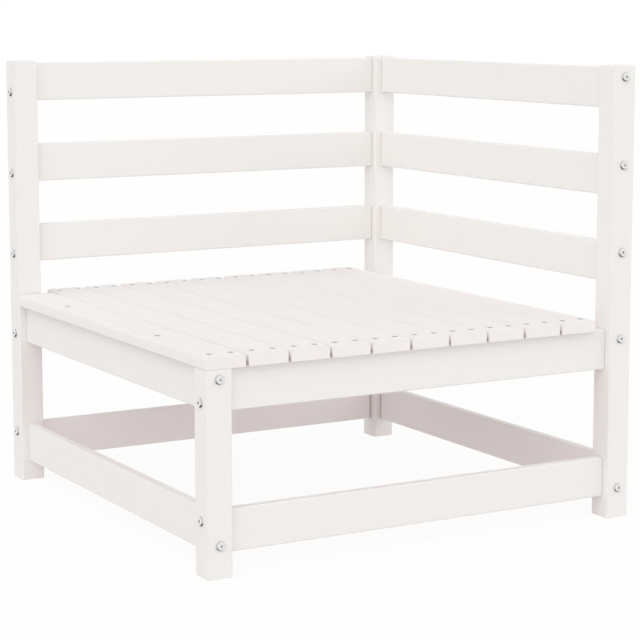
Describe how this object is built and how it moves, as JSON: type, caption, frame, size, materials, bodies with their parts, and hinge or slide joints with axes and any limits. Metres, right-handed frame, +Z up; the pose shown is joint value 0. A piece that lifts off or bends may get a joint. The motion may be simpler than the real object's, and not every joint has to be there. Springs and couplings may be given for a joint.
{
  "type": "garden corner sofa",
  "caption": "Slatted corner seat of white painted pine with rail backrests on adjoining sides, standing on square posts bolted to flat rails; takes loose cushions.",
  "frame": {"origin": "on the floor, under the middle of the seat frame", "axes": "+Z up; +X along the front edge towards the side backrest; +Y to the back backrest; the open sides face -X and -Y"},
  "size_m": [0.706, 0.706, 0.67],
  "materials": {
    "white_painted_pine": "satin white paint over planed pine, with the grain just showing",
    "zinc_plated_steel": "bright zinc plate",
    "beech": "bare turned beech"
  },
  "bodies": {
    "root": {"back_left_barrel_nuts": "zinc_plated_steel", "back_left_bolts": "zinc_plated_steel", "back_left_dowels": "beech", "back_left_post": "white_painted_pine", "back_lower_rail": "white_painted_pine", "back_rest_lower_rail": "white_painted_pine", "back_rest_middle_rail": "white_painted_pine", "back_rest_upper_rail": "white_painted_pine", "back_seat_rail": "white_painted_pine", "back_slat_screws": "zinc_plated_steel", "corner_barrel_nuts": "zinc_plated_steel", "corner_bolts": "zinc_plated_steel", "corner_dowels": "beech", "corner_post": "white_painted_pine", "edge_slat_screws": "zinc_plated_steel", "front_left_barrel_nuts": "zinc_plated_steel", "front_left_bolts": "zinc_plated_steel", "front_left_dowels": "beech", "front_left_leg": "white_painted_pine", "front_lower_rail": "white_painted_pine", "front_right_barrel_nuts": "zinc_plated_steel", "front_right_bolts": "zinc_plated_steel", "front_right_dowels": "beech", "front_right_post": "white_painted_pine", "front_seat_rail": "white_painted_pine", "front_slat_screws": "zinc_plated_steel", "left_lower_rail": "white_painted_pine", "left_seat_rail": "white_painted_pine", "right_lower_rail": "white_painted_pine", "right_seat_rail": "white_painted_pine", "seat_slat_01": "white_painted_pine", "seat_slat_02": "white_painted_pine", "seat_slat_03": "white_painted_pine", "seat_slat_04": "white_painted_pine", "seat_slat_05": "white_painted_pine", "seat_slat_06": "white_painted_pine", "seat_slat_07": "white_painted_pine", "seat_slat_08": "white_painted_pine", "seat_slat_09": "white_painted_pine", "seat_slat_10": "white_painted_pine", "side_rest_lower_rail": "white_painted_pine", "side_rest_middle_rail": "white_painted_pine", "side_rest_upper_rail": "white_painted_pine"}
  },
  "joints": []
}
